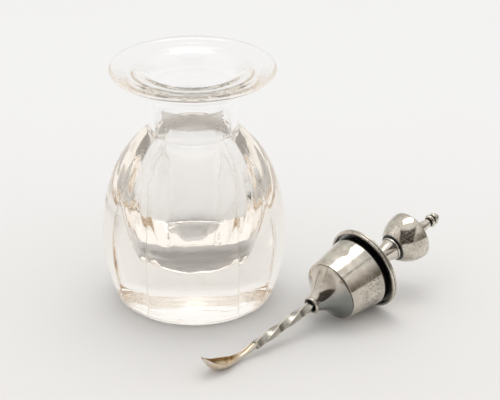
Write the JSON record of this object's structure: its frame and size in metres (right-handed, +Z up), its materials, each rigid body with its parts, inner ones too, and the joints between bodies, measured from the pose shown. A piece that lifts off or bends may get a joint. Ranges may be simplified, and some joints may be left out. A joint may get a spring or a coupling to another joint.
{
  "type": "perfume bottle",
  "caption": "Thick cut-glass bottle with a wide turned-out rim, and a loose silver plug stopper with a ball knob, a twisted stem and a gilt spoon tip.",
  "frame": {"origin": "centre of the bottle's flat base, on the surface that it stands on", "axes": "+Z up the bottle's axis out of its mouth; -Y is the side the stopper's spoon reaches past, and +X the side where the stopper lies"},
  "size_m": [0.1201, 0.0949, 0.088],
  "materials": {
    "clear_glass": "polished, with ground flats",
    "aged_silver": "polished silver, pitted and lightly tarnished",
    "worn_silver": "worn silver",
    "gilt_silver": "worn gilding over silver"
  },
  "bodies": {
    "bottle": {"glass_bottle": "clear_glass"},
    "stopper": {"flange_plate": "aged_silver", "flange_rim_wire": "aged_silver", "plug_sleeve": "aged_silver", "plug_end_cone": "aged_silver", "stem_ferrule": "aged_silver", "twisted_stem": "worn_silver", "spoon_bowl": "gilt_silver", "knob_pedestal": "aged_silver", "knob_collar_ring": "aged_silver", "knob_bowl": "aged_silver", "knob_cover": "aged_silver", "finial": "aged_silver"}
  },
  "joints": [
    {"name": "stopper_carry", "type": "hinge", "parent": "bottle", "child": "stopper", "pos_m": [-0.0647, -0.09655, 0.11129], "axis": [0.7038, -0.6765, 0.2169], "range_deg": [0, 82.3]}
  ]
}
